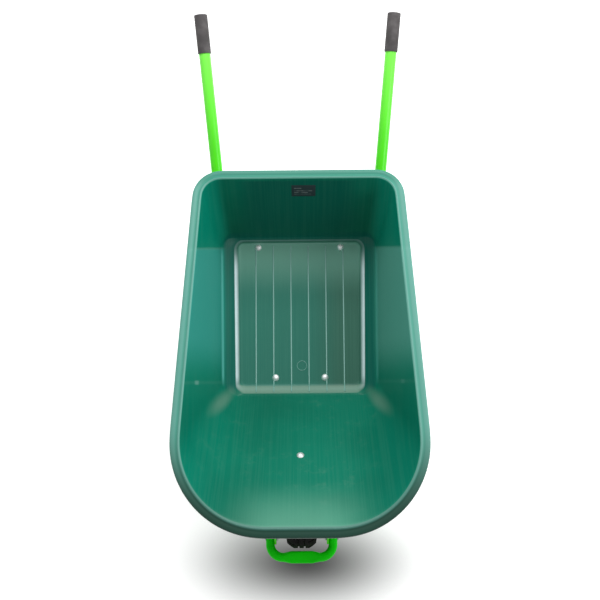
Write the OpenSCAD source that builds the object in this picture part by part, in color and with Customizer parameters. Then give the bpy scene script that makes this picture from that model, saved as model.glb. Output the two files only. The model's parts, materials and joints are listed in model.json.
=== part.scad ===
// Single-wheel garden wheelbarrow: a moulded tray on a tubular steel frame.
// Millimetres, +Z up, -Y towards the wheel, +Y towards the handles.
// The origin is on the ground, under the middle of the whole barrow.

/* [Tray] */
// Length of the sunk floor panel, along the barrow
floor_l = 446; // [370:1:560]
// Width of the sunk floor panel at its rear edge
floor_w_rear = 380; // [330:1:420]
// Width of the sunk floor panel at its front edge
floor_w_front = 372; // [320:1:410]
// Depth of the sunk floor panel under the ledge round it
floor_sink = 16; // [10:1:20]
// Width of the ledge between the floor panel and the side walls
ledge_w = 36; // [28:1:46]
// How far the front wall runs forward, from the floor to the rim
front_run = 391; // [330:1:470]
// How far the rear wall runs back, from the floor to the rim
rear_run = 128; // [100:1:170]
// Outside width of the rim at its rear corners
rim_w_rear = 578; // [500:1:660]
// Outside width of the rim where the front curve starts
rim_w_front = 652; // [560:1:760]
// Height of the rim above the floor, at the rear
depth_rear = 257; // [215:1:310]
// Height of the rim above the floor, at the front
depth_front = 359; // [300:1:430]
// Outside radius of the rim's rear corners
rim_r_rear = 78; // [60:1:110]
// Outside radius of the rim's front corners
rim_r_front = 236; // [190:1:270]
// Radius of the floor panel's corners
floor_r = 26; // [18:1:40]
// Wall thickness of the moulding
tray_t = 4; // [3:0.5:6]
// Width of the rolled rim
rim_flange = 27; // [22:1:34]
// Depth of the rim's outer skirt
rim_skirt = 24; // [18:1:32]
// Number of stiffening ribs along the floor
rib_count = 6; // [4:1:8]
// Distance from rib to rib
rib_pitch = 52; // [40:1:56]
// Height of a rib
rib_h = 1.6; // [1:0.2:3]
// Width of a rib
rib_w = 4; // [3:0.5:6]

/* [Frame] */
// Outside diameter of the handle rails
tube_d = 34; // [28:0.5:42]
// Wall of the handle rails
tube_wall = 2; // [1.5:0.25:3]
// Slope of the rails and of the floor, down to the front
deck_slope = 8; // [6:0.5:10]
// Slope of the handles
handle_slope = 23; // [18:0.5:28]
// Distance from the tray's rear rim back to the handle ends
handle_reach = 505; // [420:1:610]
// Distance between the handles' centres at their ends
handle_spread = 567; // [480:1:680]
// Distance between the rails' centres behind the rear cross member
rail_spread = 448; // [430:1:500]
// Gap between the rails and the tray, bridged by the cross members
deck_gap = 14; // [12:0.5:20]
// Length of the rubber grips
grip_l = 110; // [90:1:135]
// Outside diameter of the grips
grip_d = 39; // [38:0.5:50]

/* [Nose and stay] */
// Outside width of the nose hoop
hoop_w = 210; // [200:1:250]
// Outside diameter of the nose hoop and leg tubes
hoop_d = 26; // [22:0.5:32]
// Wall of the nose hoop and leg tubes
hoop_wall = 2; // [1.5:0.25:3]
// Thickness of the nose bar where it is pressed flat
nose_t = 11; // [9:0.5:14]
// Length of the nose bar's flat stretch
nose_flat = 62; // [50:1:76]
// Bend radius of the hoop's corners, to the tube's centre
hoop_bend = 37; // [34:1:44]
// Distance from the nose bar's front edge back to the axle
axle_setback = 238; // [230:1:290]
// Distance from the nose bar's front edge back to the tray's rim
tray_setback = 94; // [60:1:120]
// Width of the stay's flat bar
stay_w = 30; // [25:1:40]
// Thickness of the stay's flat bar
stay_t = 5; // [4:0.5:6]
// Thickness of the plates that carry the axle
axle_plate_t = 5; // [4:0.5:6]

/* [Legs] */
// Distance from the floor panel's rear edge forward to the legs' front tubes
leg_front_in = 140; // [120:1:170]
// Distance from the floor panel's rear edge back to the legs' rear tubes
leg_rear_out = 44; // [36:1:60]
// Distance between the feet's centres
foot_spread = 484; // [440:1:540]
// Length of a foot plate
foot_l = 100; // [80:1:120]
// Width of a foot plate
foot_w = 42; // [34:1:52]
// Thickness of a foot plate
foot_t = 5; // [4:0.5:8]
// Diameter of the brace between the legs
brace_d = 20; // [16:0.5:22]

/* [Wheel] */
// Outside diameter of the tyre
wheel_d = 390; // [350:1:420]
// Width of the tyre
tyre_w = 94; // [84:1:104]
// Diameter of the rim at the tyre's bead
bead_d = 203; // [190:1:220]
// Diameter of the axle bolt
axle_d = 12; // [10:0.5:14]
// Length of the wheel's hub
hub_l = 90; // [76:1:100]
// Outside diameter of the wheel bearings
bearing_d = 32; // [30:0.5:37]
// Width of a wheel bearing
bearing_w = 10; // [8:0.5:12]

/* [Fasteners] */
// Diameter of the bolts
bolt_d = 8; // [6:0.5:10]
// Diameter of the tray bolts' domed heads
bolt_head_d = 21; // [18:0.5:26]
// Distance between the rear tray bolts
rear_bolts = 247; // [200:1:300]
// Distance between the front tray bolts
front_bolts = 145; // [110:1:180]

/* [Hidden] */
$fn = 64;

clearance = 0.05;          // radial play of turning fits
bolt_play = 0.3;           // radial play of bolts in their holes
eps = 0.5;                 // how far a cut runs past a face
side_names = [-1, 1];      // left, right

// Lengths along the barrow, counted from the nose bar's front edge
tray_l = front_run + floor_l + rear_run;
floor_front_s = tray_setback + front_run;
floor_rear_s = floor_front_s + floor_l;
rim_rear_s = tray_setback + tray_l;
handle_end_s = rim_rear_s + handle_reach;
overall_l = handle_end_s + grip_d / 2 * sin(handle_slope);
function y_of(s) = s - overall_l / 2;

// The floor's plane, and the rails under it
axle_s = axle_setback;
axle_z = wheel_d / 2;
floor_mid_s = floor_front_s + floor_l / 2;
under_rail = max(hoop_d / 2, axle_d + 1);  // room over the axle for the hoop and the washers
deck_h = axle_z + under_rail + (tube_d + deck_gap + tray_t) / cos(deck_slope)
    + tan(deck_slope) * (floor_mid_s - axle_s);
function deck_z(s) = deck_h + tan(deck_slope) * (s - floor_mid_s);
function rail_z(s) = deck_z(s) - (tray_t + deck_gap + tube_d / 2) / cos(deck_slope);

// The hoop's legs run at axle height, each inside an axle plate that hangs from a rail
hoop_x = (hoop_w - hoop_d) / 2;
plate_x = hoop_w / 2 + axle_plate_t / 2;

// Route of a rail's centre line
rail_end_gap = 6;          // extra distance kept between a rail's end and the hoop below it
tube_reach = (tube_d + hoop_d) / 2;
rail_front_s = axle_s + rail_end_gap
    - (tube_reach - sqrt(tube_reach * tube_reach - pow(plate_x - hoop_x, 2))) / tan(deck_slope);
nip_bend_s = axle_s + 68;
spread_bend_s = floor_rear_s - 48;
handle_bend_s = floor_rear_s + 90;
spread_end = handle_end_s - spread_bend_s;
function handle_x(s) = rail_spread / 2
    + (handle_spread - rail_spread) / 2 * (s - spread_bend_s) / spread_end;
function rail_x(s) = s < nip_bend_s ? plate_x
    : s < spread_bend_s ? plate_x + (rail_spread / 2 - plate_x)
        * (s - nip_bend_s) / (spread_bend_s - nip_bend_s)
    : handle_x(s);
function rail_height(s) = s < handle_bend_s ? rail_z(s)
    : rail_z(handle_bend_s) + tan(handle_slope) * (s - handle_bend_s);
function rail_point(side, s) = [side * rail_x(s), y_of(s), rail_height(s)];
cap_t = 3;                 // closed end of a grip
function rail_route(side) = [rail_point(side, rail_front_s), rail_point(side, nip_bend_s),
    rail_point(side, spread_bend_s), rail_point(side, handle_bend_s),
    rail_point(side, handle_end_s) - cap_t * handle_dir(side)];
function handle_dir(side) = unit(rail_point(side, handle_end_s) - rail_point(side, handle_bend_s));
rail_bends = [160, 200, 150];

// Tubes
function unit(v) = v / norm(v);
function stretched(route, more) = let (n = len(route) - 1)
    [for (i = [0:n]) i == 0 ? route[0] - more * unit(route[1] - route[0])
        : i == n ? route[n] + more * unit(route[n] - route[n - 1]) : route[i]];
function bend_angle(a, b, c) = acos(unit(b - a) * unit(c - b));
function setback(route, bends, i) = i == 0 || i == len(route) - 1 ? 0
    : bends[i - 1] * tan(bend_angle(route[i - 1], route[i], route[i + 1]) / 2);

module at_frame(origin, x, y, z) {
    multmatrix([[x[0], y[0], z[0], origin[0]], [x[1], y[1], z[1], origin[1]],
        [x[2], y[2], z[2], origin[2]], [0, 0, 0, 1]]) children();
}

module pointing(origin, dir) {
    z = unit(dir);
    x = unit(cross(abs(z[2]) < 0.9 ? [0, 0, 1] : [0, 1, 0], z));
    at_frame(origin, x, cross(z, x), z) children();
}

module bent_rod(route, bends, d) {
    for (i = [0:len(route) - 2]) {
        dir = unit(route[i + 1] - route[i]);
        start = route[i] + setback(route, bends, i) * dir;
        end = route[i + 1] - setback(route, bends, i + 1) * dir;
        pointing(start, dir) cylinder(d = d, h = norm(end - start));
    }
    for (i = [1:1:len(route) - 2]) {
        u = unit(route[i] - route[i - 1]);
        axis = unit(cross(u, route[i + 1] - route[i]));
        inward = cross(axis, u);
        r = bends[i - 1];
        centre = route[i] - setback(route, bends, i) * u + r * inward;
        at_frame(centre, -inward, u, axis)
            rotate_extrude(angle = bend_angle(route[i - 1], route[i], route[i + 1]))
                translate([r, 0]) circle(d = d);
    }
}

// A tube's stations: [centre, direction, width, height] along the route, with its bends in steps
tube_sides = 24;
function stations(route, bends, d, step = 7) = let (n = len(route) - 1)
    [for (i = [0:n]) let (
        u = unit(i == 0 ? route[1] - route[0] : route[i] - route[i - 1]),
        v = unit(i == n ? route[n] - route[n - 1] : route[i + 1] - route[i]))
        each i == 0 || i == n ? [[route[i], u, d, d]] : let (
            bend = acos(u * v), r = bends[i - 1], steps = ceil(bend / step),
            axis = unit(cross(u, v)), inward = cross(axis, u),
            centre = route[i] - setback(route, bends, i) * u + r * inward)
            [for (k = [0:steps]) let (a = bend * k / steps)
                [centre + r * (sin(a) * u - cos(a) * inward), cos(a) * u + sin(a) * inward, d, d]]];

function section(station, across, inset) = let (
    y = unit(across - (across * station[1]) * station[1]), x = cross(y, station[1]),
    w = station[2] - 2 * inset, h = station[3] - 2 * inset)
    [for (i = [0:tube_sides - 1]) let (a = 360 * (i + 0.5) / tube_sides)
        station[0] + ((w - h) / 2 * sign(cos(a)) + h / 2 * cos(a)) * x + h / 2 * sin(a) * y];

// A tube through its stations. Its height lies towards across, a direction that it never takes
module swept_tube(path, across, wall) {
    n = tube_sides;
    last = len(path) - 1;
    rings = concat([for (p = path) section(p, across, 0)],
        [for (i = [last:-1:0]) section(path[i], across, wall)]);
    loops = len(rings);
    polyhedron(points = [for (r = rings) each r],
        faces = [for (k = [0:loops - 1], i = [0:n - 1]) let (j = (i + 1) % n, m = (k + 1) % loops)
            each [[k * n + i, m * n + j, k * n + j], [k * n + i, m * n + i, m * n + j]]],
        convexity = 8);
}

module bent_tube(route, bends, d, wall, across = [1, 0, 0]) {
    swept_tube(stations(route, bends, d), across, wall);
}

// Tray: closed outlines of one shape, from the floor out over the rim and back underneath.
// An outline is [front s, rear s, front half width, rear half width, front radius, rear radius,
// front height, rear height, extra height along the sides].
arc_front = 12;            // points on a front corner
arc_rear = 7;              // points on a rear corner
rim_z_rear = deck_z(floor_rear_s) + depth_rear;
rim_z_front = deck_z(floor_front_s) + depth_front;
sink_run_front = 26;       // run of the floor panel's step at its front
sink_run_rear = 4;         // run of the floor panel's step at its rear
sink_run_side = 12;        // run of the floor panel's step at its sides
ledge_end = 9;             // width of the ledge at its front and rear
ledge_rise = 6;            // rise of the ledge out to the end walls
side_rise = 18;            // further rise of the ledge out to the side walls

function panel_outline() = [floor_front_s + sink_run_front, floor_rear_s - sink_run_rear,
    floor_w_front / 2 - sink_run_side, floor_w_rear / 2 - sink_run_side,
    floor_r - sink_run_side, floor_r - sink_run_side,
    deck_z(floor_front_s + sink_run_front), deck_z(floor_rear_s - sink_run_rear), 0];
function step_outline() = [floor_front_s, floor_rear_s, floor_w_front / 2, floor_w_rear / 2,
    floor_r, floor_r, deck_z(floor_front_s) + floor_sink, deck_z(floor_rear_s) + floor_sink, 0];
function base_outline() = let (end = ledge_end, up = floor_sink + ledge_rise)
    [floor_front_s - end, floor_rear_s + end,
    floor_w_front / 2 + ledge_w, floor_w_rear / 2 + ledge_w, floor_r + 2 * end, floor_r + end,
    deck_z(floor_front_s - end) + up, deck_z(floor_rear_s + end) + up, side_rise];
function rim_outline() = let (f = rim_flange) [tray_setback + f, rim_rear_s - f,
    rim_w_front / 2 - f, rim_w_rear / 2 - f, rim_r_front - f, rim_r_rear - f,
    rim_z_front, rim_z_rear, 0];
function mixed(a, b, t) = a * (1 - t) + b * t;
function grown(o, by, dz) = [o[0] - by, o[1] + by, o[2] + by, o[3] + by,
    max(o[4] + by, 1), max(o[5] + by, 1), o[6] + dz, o[7] + dz, o[8]];

// Half of an outline, on the +X side, from the front middle to the rear middle
function half_outline(o) = let (
    slope = (o[7] - o[6]) / (o[1] - o[0]),
    lean = atan((o[3] - o[2]) / (o[1] - o[0] - o[4] - o[5])),
    flat = [for (i = [0:arc_front]) let (a = -90 + (90 - lean) * i / arc_front)
            [o[2] - o[4] + o[4] * cos(a), o[0] + o[4] + o[4] * sin(a), pow(cos(a), 2)],
        for (i = [0:arc_rear]) let (a = -lean + (90 + lean) * i / arc_rear)
            [o[3] - o[5] + o[5] * cos(a), o[1] - o[5] + o[5] * sin(a), pow(cos(a), 2)]])
    [for (p = flat) [p[0], y_of(p[1]), o[6] + slope * (p[1] - o[0]) + o[8] * p[2]]];
function outline_points(o) = let (h = half_outline(o), n = len(h) - 1)
    concat(h, [for (i = [n:-1:0]) [-h[i][0], h[i][1], h[i][2]]]);

module skin(rings) {
    n = len(rings[0]);
    last = len(rings) - 1;
    sides = [for (k = [0:last - 1], i = [0:n - 1]) let (j = (i + 1) % n)
        each [[k * n + i, (k + 1) * n + j, k * n + j], [k * n + i, (k + 1) * n + i, (k + 1) * n + j]]];
    caps = [for (i = [0:n / 2 - 2]) let (j = n - 1 - i, z = last * n)
        each [[i, i + 1, j], [i + 1, j - 1, j], [z + i, z + j, z + i + 1], [z + i + 1, z + j, z + j - 1]]];
    polyhedron(points = [for (r = rings) each r], faces = concat(sides, caps), convexity = 6);
}

module tray_shell() {
    panel = panel_outline();
    step = step_outline();
    base = base_outline();
    rim = rim_outline();
    t = tray_t;
    f = rim_flange;
    wall = t * (1 - wall_dir[2]) / norm([wall_dir[0], wall_dir[1]]);
    skin([for (o = [
        grown(panel, 0, -t / cos(deck_slope)), grown(step, t / 2, -t), grown(base, t, -wall),
        grown(mixed(base, rim, 0.97), t, -wall), grown(rim, t + 2, -t),
        grown(rim, f - t, -t), grown(rim, f - t, -rim_skirt), grown(rim, f, -rim_skirt),
        grown(rim, f, -6), grown(rim, f - 2, -2), grown(rim, f - 6, 0),
        grown(rim, 5, 0), grown(rim, 1.5, -1.5), grown(mixed(base, rim, 0.98), 0, 0),
        grown(mixed(base, rim, 0.03), 0, 0), grown(mixed(step, base, 0.8), 0, 0),
        step, panel]) outline_points(o)]);
}

// Places on the floor and on the front wall where bolts pass
rear_bolt_s = floor_rear_s - sink_run_rear - bolt_head_d / 2 - 1;
front_bolt_s = floor_front_s + 46;
function floor_point(x, s) = [x, y_of(s), deck_z(s)];
floor_normal = [0, -sin(deck_slope), cos(deck_slope)];
floor_bolt_points = [for (side = side_names) each [floor_point(side * rear_bolts / 2, rear_bolt_s),
    floor_point(side * front_bolts / 2, front_bolt_s)]];
wall_low = [0, y_of(base_outline()[0]), base_outline()[6]];
wall_high = [0, y_of(rim_outline()[0]), rim_outline()[6]];
wall_dir = unit(wall_high - wall_low);
wall_normal = cross([-1, 0, 0], wall_dir);
stay_bolt_point = wall_low + 0.5 * (wall_high - wall_low);

module through_floor(d, above, below) {
    for (p = floor_bolt_points)
        pointing(p - below * floor_normal, floor_normal) cylinder(d = d, h = above + below);
}

module floor_ribs() {
    rib_l = floor_l - sink_run_front - sink_run_rear - 6;
    for (i = [0:rib_count - 1])
        at_frame(floor_point((i - (rib_count - 1) / 2) * rib_pitch,
                floor_mid_s + (sink_run_front - sink_run_rear) / 2),
            [1, 0, 0], [0, cos(deck_slope), sin(deck_slope)], floor_normal)
            translate([-rib_w / 2, -rib_l / 2, -1]) cube([rib_w, rib_l, rib_h + 1]);
}

module tray() {
    color([0.03, 0.27, 0.19]) difference() {
        union() {
            tray_shell();
            floor_ribs();
        }
        through_floor(bolt_d + 2 * bolt_play, bolt_head_d, 2 * tray_t);
        through_floor(bolt_head_d + 1, bolt_head_d, 0);
        pointing(stay_bolt_point - 2 * tray_t * wall_normal, wall_normal)
            cylinder(d = bolt_d + 2 * bolt_play, h = 4 * tray_t);
    }
}

// Label on the rear wall, inside
label_w = 66;
label_h = 44;
label_t = 0.6;
rear_low = [0, y_of(base_outline()[1]), base_outline()[7]];
rear_high = [0, y_of(rim_outline()[1]), rim_outline()[7]];
rear_dir = unit(rear_high - rear_low);
label_centre = rear_low + 0.8 * (rear_high - rear_low) + [14, 0, 0];

module tray_label() {
    color([0.05, 0.05, 0.06])
        at_frame(label_centre, [1, 0, 0], rear_dir, cross([1, 0, 0], rear_dir))
            linear_extrude(label_t) square([label_w, label_h], center = true);
}

// Frame
module rail_space(side, d = tube_d) {
    bent_rod(rail_route(side), rail_bends, d);
}

module rail(side) {
    color([0.3, 0.85, 0.1])
        bent_tube(rail_route(side), rail_bends, tube_d, tube_wall);
}

module rail_left() { rail(-1); }

module rail_right() { rail(1); }

plug_play = 0.8;
module rail_plug(side) {
    dir = unit(rail_route(side)[1] - rail_route(side)[0]);
    color([0.12, 0.12, 0.12]) {
        pointing(rail_route(side)[0] - 4 * dir, dir) cylinder(d = tube_d, h = 4);
        pointing(rail_route(side)[0], dir) cylinder(d = tube_d - 2 * tube_wall - plug_play, h = 16);
    }
}

module rail_plug_left() { rail_plug(-1); }

module rail_plug_right() { rail_plug(1); }

module grip(side) {
    dir = handle_dir(side);
    end = rail_point(side, handle_end_s);
    color([0.2, 0.2, 0.2]) difference() {
        pointing(end - grip_l * dir, dir) cylinder(d = grip_d, h = grip_l);
        pointing(end - (grip_l + eps) * dir, dir) cylinder(d = tube_d, h = grip_l + eps - cap_t);
    }
}

module grip_left() { grip(-1); }

module grip_right() { grip(1); }

// Cross members: channels, open below, let down over the rails
member_w = 40;
member_wall = 3;
member_drop = 12;          // how far the channel's flanges reach below the rails' tops

module cross_member(s, bolts) {
    reach = rail_x(s) + tube_d / 2 + 6;
    color([0.3, 0.85, 0.1]) difference() {
        at_frame(floor_point(0, s) - (tray_t + deck_gap + member_drop) * floor_normal,
            [1, 0, 0], [0, cos(deck_slope), sin(deck_slope)], floor_normal)
            difference() {
                h = deck_gap + member_drop;
                translate([-reach, -member_w / 2, 0]) cube([2 * reach, member_w, h]);
                translate([-reach - eps, member_wall - member_w / 2, -eps])
                    cube([2 * (reach + eps), member_w - 2 * member_wall, h + eps - member_wall]);
            }
        for (side = side_names) rail_space(side);
        pointing(floor_point(-bolts / 2, s) - 2 * deck_gap * floor_normal, floor_normal)
            cylinder(d = bolt_d + 2 * bolt_play, h = 2 * deck_gap);
        pointing(floor_point(bolts / 2, s) - 2 * deck_gap * floor_normal, floor_normal)
            cylinder(d = bolt_d + 2 * bolt_play, h = 2 * deck_gap);
    }
}

module rear_cross_member() { cross_member(rear_bolt_s, rear_bolts); }

module front_cross_member() { cross_member(front_bolt_s, front_bolts); }

// Nose hoop: its bar is pressed flat in the middle
nose_w = (PI * hoop_d - PI * nose_t) / 2 + nose_t;
nose_s = nose_w / 2;
press_run = 22;            // length over which the tube goes from round to flat
hoop_end_s = axle_s + 66;
foot_s = nose_s + hoop_bend + stay_w / 2;

function hoop_route() = [[-hoop_x, y_of(hoop_end_s), axle_z], [-hoop_x, y_of(nose_s), axle_z],
    [hoop_x, y_of(nose_s), axle_z], [hoop_x, y_of(hoop_end_s), axle_z]];

module nose_hoop() {
    round_path = stations(hoop_route(), [hoop_bend, hoop_bend], hoop_d);
    middle = len(round_path) / 2;
    flat_x = nose_flat / 2;
    press = [for (p = [[-flat_x - press_run, 0], [-flat_x - press_run / 2, 0.5], [-flat_x, 1],
            [flat_x, 1], [flat_x + press_run / 2, 0.5], [flat_x + press_run, 0]])
        [[p[0], y_of(nose_s), axle_z], [1, 0, 0],
            mixed(hoop_d, nose_w, p[1]), mixed(hoop_d, nose_t, p[1])]];
    color([0.05, 0.6, 0.05]) difference() {
        swept_tube([for (i = [0:len(round_path) - 1])
            each i == middle ? concat(press, [round_path[i]]) : [round_path[i]]], [0, 0, 1], hoop_wall);
        axle_hole(bolt_play);
        for (side = side_names) foot_bolt_hole(side);
    }
}

module along_x(x, s, z) {
    translate([x, y_of(s), z]) rotate([0, 90, 0]) children();
}

module axle_hole(play) {
    along_x(-plate_x - 20, axle_s, axle_z) cylinder(d = axle_d + 2 * play, h = 2 * plate_x + 40);
}

foot_bolt_d = 6;
module foot_bolt_hole(side) {
    along_x(side * hoop_x - 2 * hoop_d, foot_s, axle_z)
        cylinder(d = foot_bolt_d + 2 * bolt_play, h = 4 * hoop_d);
}

// Front stay: a flat bar under the front wall, with a leg down each side of the wheel
stay_top = stay_bolt_point - tray_t * wall_normal;
stay_x = hoop_x - hoop_d / 2;

module in_side_plane(x, t) {
    translate([x - t / 2, 0, 0]) rotate([90, 0, 90]) linear_extrude(t) children();
}

module front_stay() {
    half = (stay_w / 2 + 2) * wall_dir;
    reach = stay_x - stay_t / 2;
    foot_y = y_of(foot_s);
    foot_z = axle_z - stay_w / 2;
    color([0.3, 0.85, 0.1]) difference() {
        union() {
            at_frame(stay_top, [1, 0, 0], wall_dir, -wall_normal)
                translate([-reach, -stay_w / 2, 0]) cube([2 * reach, stay_w, stay_t]);
            for (side = side_names) in_side_plane(side * (stay_x - stay_t / 2), stay_t)
                polygon([[(stay_top + half)[1], (stay_top + half)[2]],
                    [foot_y - stay_w / 2, foot_z + stay_w], [foot_y - stay_w / 2, foot_z],
                    [foot_y + stay_w / 2, foot_z], [foot_y + stay_w / 2, foot_z + stay_w],
                    [(stay_top - half)[1], (stay_top - half)[2]]]);
        }
        pointing(stay_top - 3 * stay_t * wall_normal, wall_normal)
            cylinder(d = bolt_d + 2 * bolt_play, h = 4 * stay_t);
        for (side = side_names) foot_bolt_hole(side);
    }
}

// Axle plates
module axle_plate(side) {
    low = axle_z - 26;
    front_s = max(axle_s - 22, rail_front_s + tube_d / 2 * tan(deck_slope));
    color([0.3, 0.85, 0.1]) difference() {
        in_side_plane(side * plate_x, axle_plate_t) polygon([
            [y_of(front_s), low], [y_of(axle_s + 22), low],
            [y_of(axle_s + 44), rail_z(axle_s + 44) - 5], [y_of(front_s), rail_z(front_s) - 5]]);
        rail_space(side);
        axle_hole(bolt_play);
    }
}

module axle_plate_left() { axle_plate(-1); }

module axle_plate_right() { axle_plate(1); }

// Legs: a bent tube under each rail, on a foot plate
leg_front_s = floor_rear_s - leg_front_in;
leg_rear_s = floor_rear_s + leg_rear_out;
foot_mid_s = (leg_front_s + leg_rear_s) / 2;
leg_low = foot_t + hoop_d / 2;
leg_bend = 48;
leg_corner = foot_l / 2 + 14;

function leg_route(side) = [
    rail_point(side, leg_front_s),
    [side * foot_spread / 2, y_of(foot_mid_s - leg_corner), leg_low],
    [side * foot_spread / 2, y_of(foot_mid_s + leg_corner), leg_low],
    rail_point(side, leg_rear_s)];

module leg(side) {
    color([0.3, 0.85, 0.1]) difference() {
        bent_tube(leg_route(side), [leg_bend, leg_bend], hoop_d, hoop_wall);
        for (s = [leg_front_s, leg_rear_s]) {
            from = rail_point(side, s - hoop_d);
            to = rail_point(side, s + hoop_d);
            pointing(from, to - from) cylinder(d = tube_d, h = norm(to - from));
        }
    }
}

module leg_left() { leg(-1); }

module leg_right() { leg(1); }

module foot(side) {
    r = 12;
    color([0.3, 0.85, 0.1]) translate([side * foot_spread / 2, y_of(foot_mid_s), 0]) {
        for (x = side_names, y = side_names)
            translate([x * (foot_w / 2 - r), y * (foot_l / 2 - r), 0]) cylinder(r = r, h = foot_t);
        translate([-foot_w / 2, r - foot_l / 2, 0]) cube([foot_w, foot_l - 2 * r, foot_t]);
        translate([r - foot_w / 2, -foot_l / 2, 0]) cube([foot_w - 2 * r, foot_l, foot_t]);
    }
}

module foot_left() { foot(-1); }

module foot_right() { foot(1); }

brace_at = 0.42;           // share of the front leg's height where the brace meets it
module leg_brace() {
    r = leg_route(1);
    p = mixed(r[1], r[0], brace_at);
    color([0.3, 0.85, 0.1]) difference() {
        translate([-p[0], p[1], p[2]]) rotate([0, 90, 0]) difference() {
            cylinder(d = brace_d, h = 2 * p[0]);
            translate([0, 0, -eps]) cylinder(d = brace_d - 3, h = 2 * (p[0] + eps));
        }
        for (side = side_names) bent_rod(leg_route(side), [leg_bend, leg_bend], hoop_d);
    }
}

// Axle
washer_t = 2.5;
axle_head_h = 7.5;
axle_nut_h = 10;
across_corners = 1.1547;
plate_out = plate_x + axle_plate_t / 2;
hub_half = hub_l / 2;

module axle_bolt() {
    color([0.75, 0.77, 0.8]) {
        along_x(-plate_out - washer_t - axle_head_h, axle_s, axle_z)
            cylinder(d = 1.5 * axle_d * across_corners, h = axle_head_h, $fn = 6);
        along_x(-plate_out - washer_t, axle_s, axle_z)
            cylinder(d = axle_d, h = 2 * (plate_out + washer_t) + axle_nut_h + 3);
    }
}

module ring(x, d, bore, h) {
    along_x(x, axle_s, axle_z) difference() {
        cylinder(d = d, h = h);
        translate([0, 0, -eps]) cylinder(d = bore, h = h + 2 * eps);
    }
}

module axle_nut() {
    color([0.75, 0.77, 0.8]) along_x(plate_out + washer_t, axle_s, axle_z) difference() {
        cylinder(d = 1.5 * axle_d * across_corners, h = axle_nut_h, $fn = 6);
        translate([0, 0, -eps]) cylinder(d = axle_d, h = axle_nut_h + 2 * eps);
    }
}

module axle_washers() {
    color([0.7, 0.72, 0.75]) {
        ring(-plate_out - washer_t, 2 * axle_d, axle_d + 2 * bolt_play, washer_t);
        ring(plate_out, 2 * axle_d, axle_d + 2 * bolt_play, washer_t);
    }
}

module axle_spacer(side) {
    inner = hub_half + 0.5;
    color([0.7, 0.72, 0.75])
        ring(side > 0 ? inner : -stay_x, 1.7 * axle_d, axle_d + 2 * clearance, stay_x - inner);
}

module axle_spacer_left() { axle_spacer(-1); }

module axle_spacer_right() { axle_spacer(1); }

// Bearings
sleeve_half = hub_half - bearing_w;
inner_ring_d = axle_d + 0.3 * (bearing_d - axle_d);
outer_ring_d = axle_d + 0.7 * (bearing_d - axle_d);
ball_d = 0.6 * (bearing_d - axle_d) / 2;
ball_pitch_d = (axle_d + bearing_d) / 2;
ball_count = 8;

module axle_inner_sleeve() {
    color([0.7, 0.72, 0.75])
        ring(-sleeve_half, inner_ring_d, axle_d + 2 * clearance, 2 * sleeve_half);
}

module bearing_race(side, d, bore, extra) {
    from = side > 0 ? sleeve_half : -hub_half - extra;
    color([0.8, 0.82, 0.85]) difference() {
        ring(from, d, bore, bearing_w + extra);
        along_x(side * (hub_half - bearing_w / 2), axle_s, axle_z)
            rotate_extrude() translate([ball_pitch_d / 2, 0]) circle(d = ball_d + 4 * clearance);
    }
}

module bearing_inner_rings() {
    for (side = side_names)
        bearing_race(side, inner_ring_d, axle_d + 2 * clearance, 0.5);
}

module bearing_outer_rings() {
    for (side = side_names) bearing_race(side, bearing_d, outer_ring_d, 0);
}

module bearing_balls() {
    color([0.85, 0.86, 0.88]) for (side = side_names, i = [0:ball_count - 1])
        along_x(side * (hub_half - bearing_w / 2), axle_s, axle_z)
            rotate([0, 0, 360 * i / ball_count]) translate([ball_pitch_d / 2, 0, 0]) sphere(d = ball_d);
}

// Wheel: two pressed discs welded round the hub and bolted together
hub_wall = 4;
disc_t = 2;
hub_d = bearing_d + 2 * hub_wall;
well_r = bead_d / 2 - 14;  // radius where a disc turns outwards under the tyre
rim_half = tyre_w / 2 - 17;
lip_h = 13;
wheel_bolt_r = (hub_d / 2 + well_r) / 2;
wheel_bolt_count = 4;

module turned_x() {
    translate([0, y_of(axle_s), axle_z]) rotate([0, 90, 0]) rotate_extrude($fn = 96) children();
}

module wheel_hub() {
    color([0.25, 0.26, 0.27]) turned_x() difference() {
        translate([0, -hub_half]) square([hub_d / 2, 2 * hub_half]);
        translate([-eps, -hub_half - eps]) square([bearing_d / 2 - 2 + eps, 2 * (hub_half + eps)]);
        for (side = side_names) translate([-eps, side * hub_half - bearing_w])
            square([bearing_d / 2 + eps, 2 * bearing_w]);
    }
}

module wheel_disc(side) {
    t = disc_t;
    seat = bead_d / 2;
    out = rim_half;
    color([0.25, 0.26, 0.27]) difference() {
        turned_x() polygon([for (p = [[hub_d / 2, 0], [well_r + t, 0], [well_r + t, 10], [seat, 16],
            [seat, out - t], [seat + lip_h, out - t], [seat + lip_h, out], [seat - t, out],
            [seat - t, 17.5], [well_r, 11.5], [well_r, t], [hub_d / 2, t]]) [p[0], side * p[1]]]);
        wheel_bolt_places() translate([0, 0, -20]) cylinder(d = bolt_d + 2 * bolt_play, h = 40);
        valve_place() translate([0, 0, -1]) cylinder(d = valve_d + 1, h = 60);
    }
}

module wheel_disc_left() { wheel_disc(-1); }

module wheel_disc_right() { wheel_disc(1); }

module wheel_bolt_places() {
    for (i = [0:wheel_bolt_count - 1])
        along_x(0, axle_s, axle_z) rotate([0, 0, 360 * (i + 0.5) / wheel_bolt_count])
            translate([wheel_bolt_r, 0, 0]) children();
}

nut_h = 6.5;
bolt_head_h = 5.3;
module wheel_bolts() {
    color([0.75, 0.77, 0.8]) wheel_bolt_places() {
        translate([0, 0, disc_t]) cylinder(d = 1.6 * bolt_d * across_corners, h = bolt_head_h, $fn = 6);
        translate([0, 0, -disc_t - nut_h - 2]) cylinder(d = bolt_d, h = 2 * disc_t + nut_h + 2);
    }
}

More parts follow.
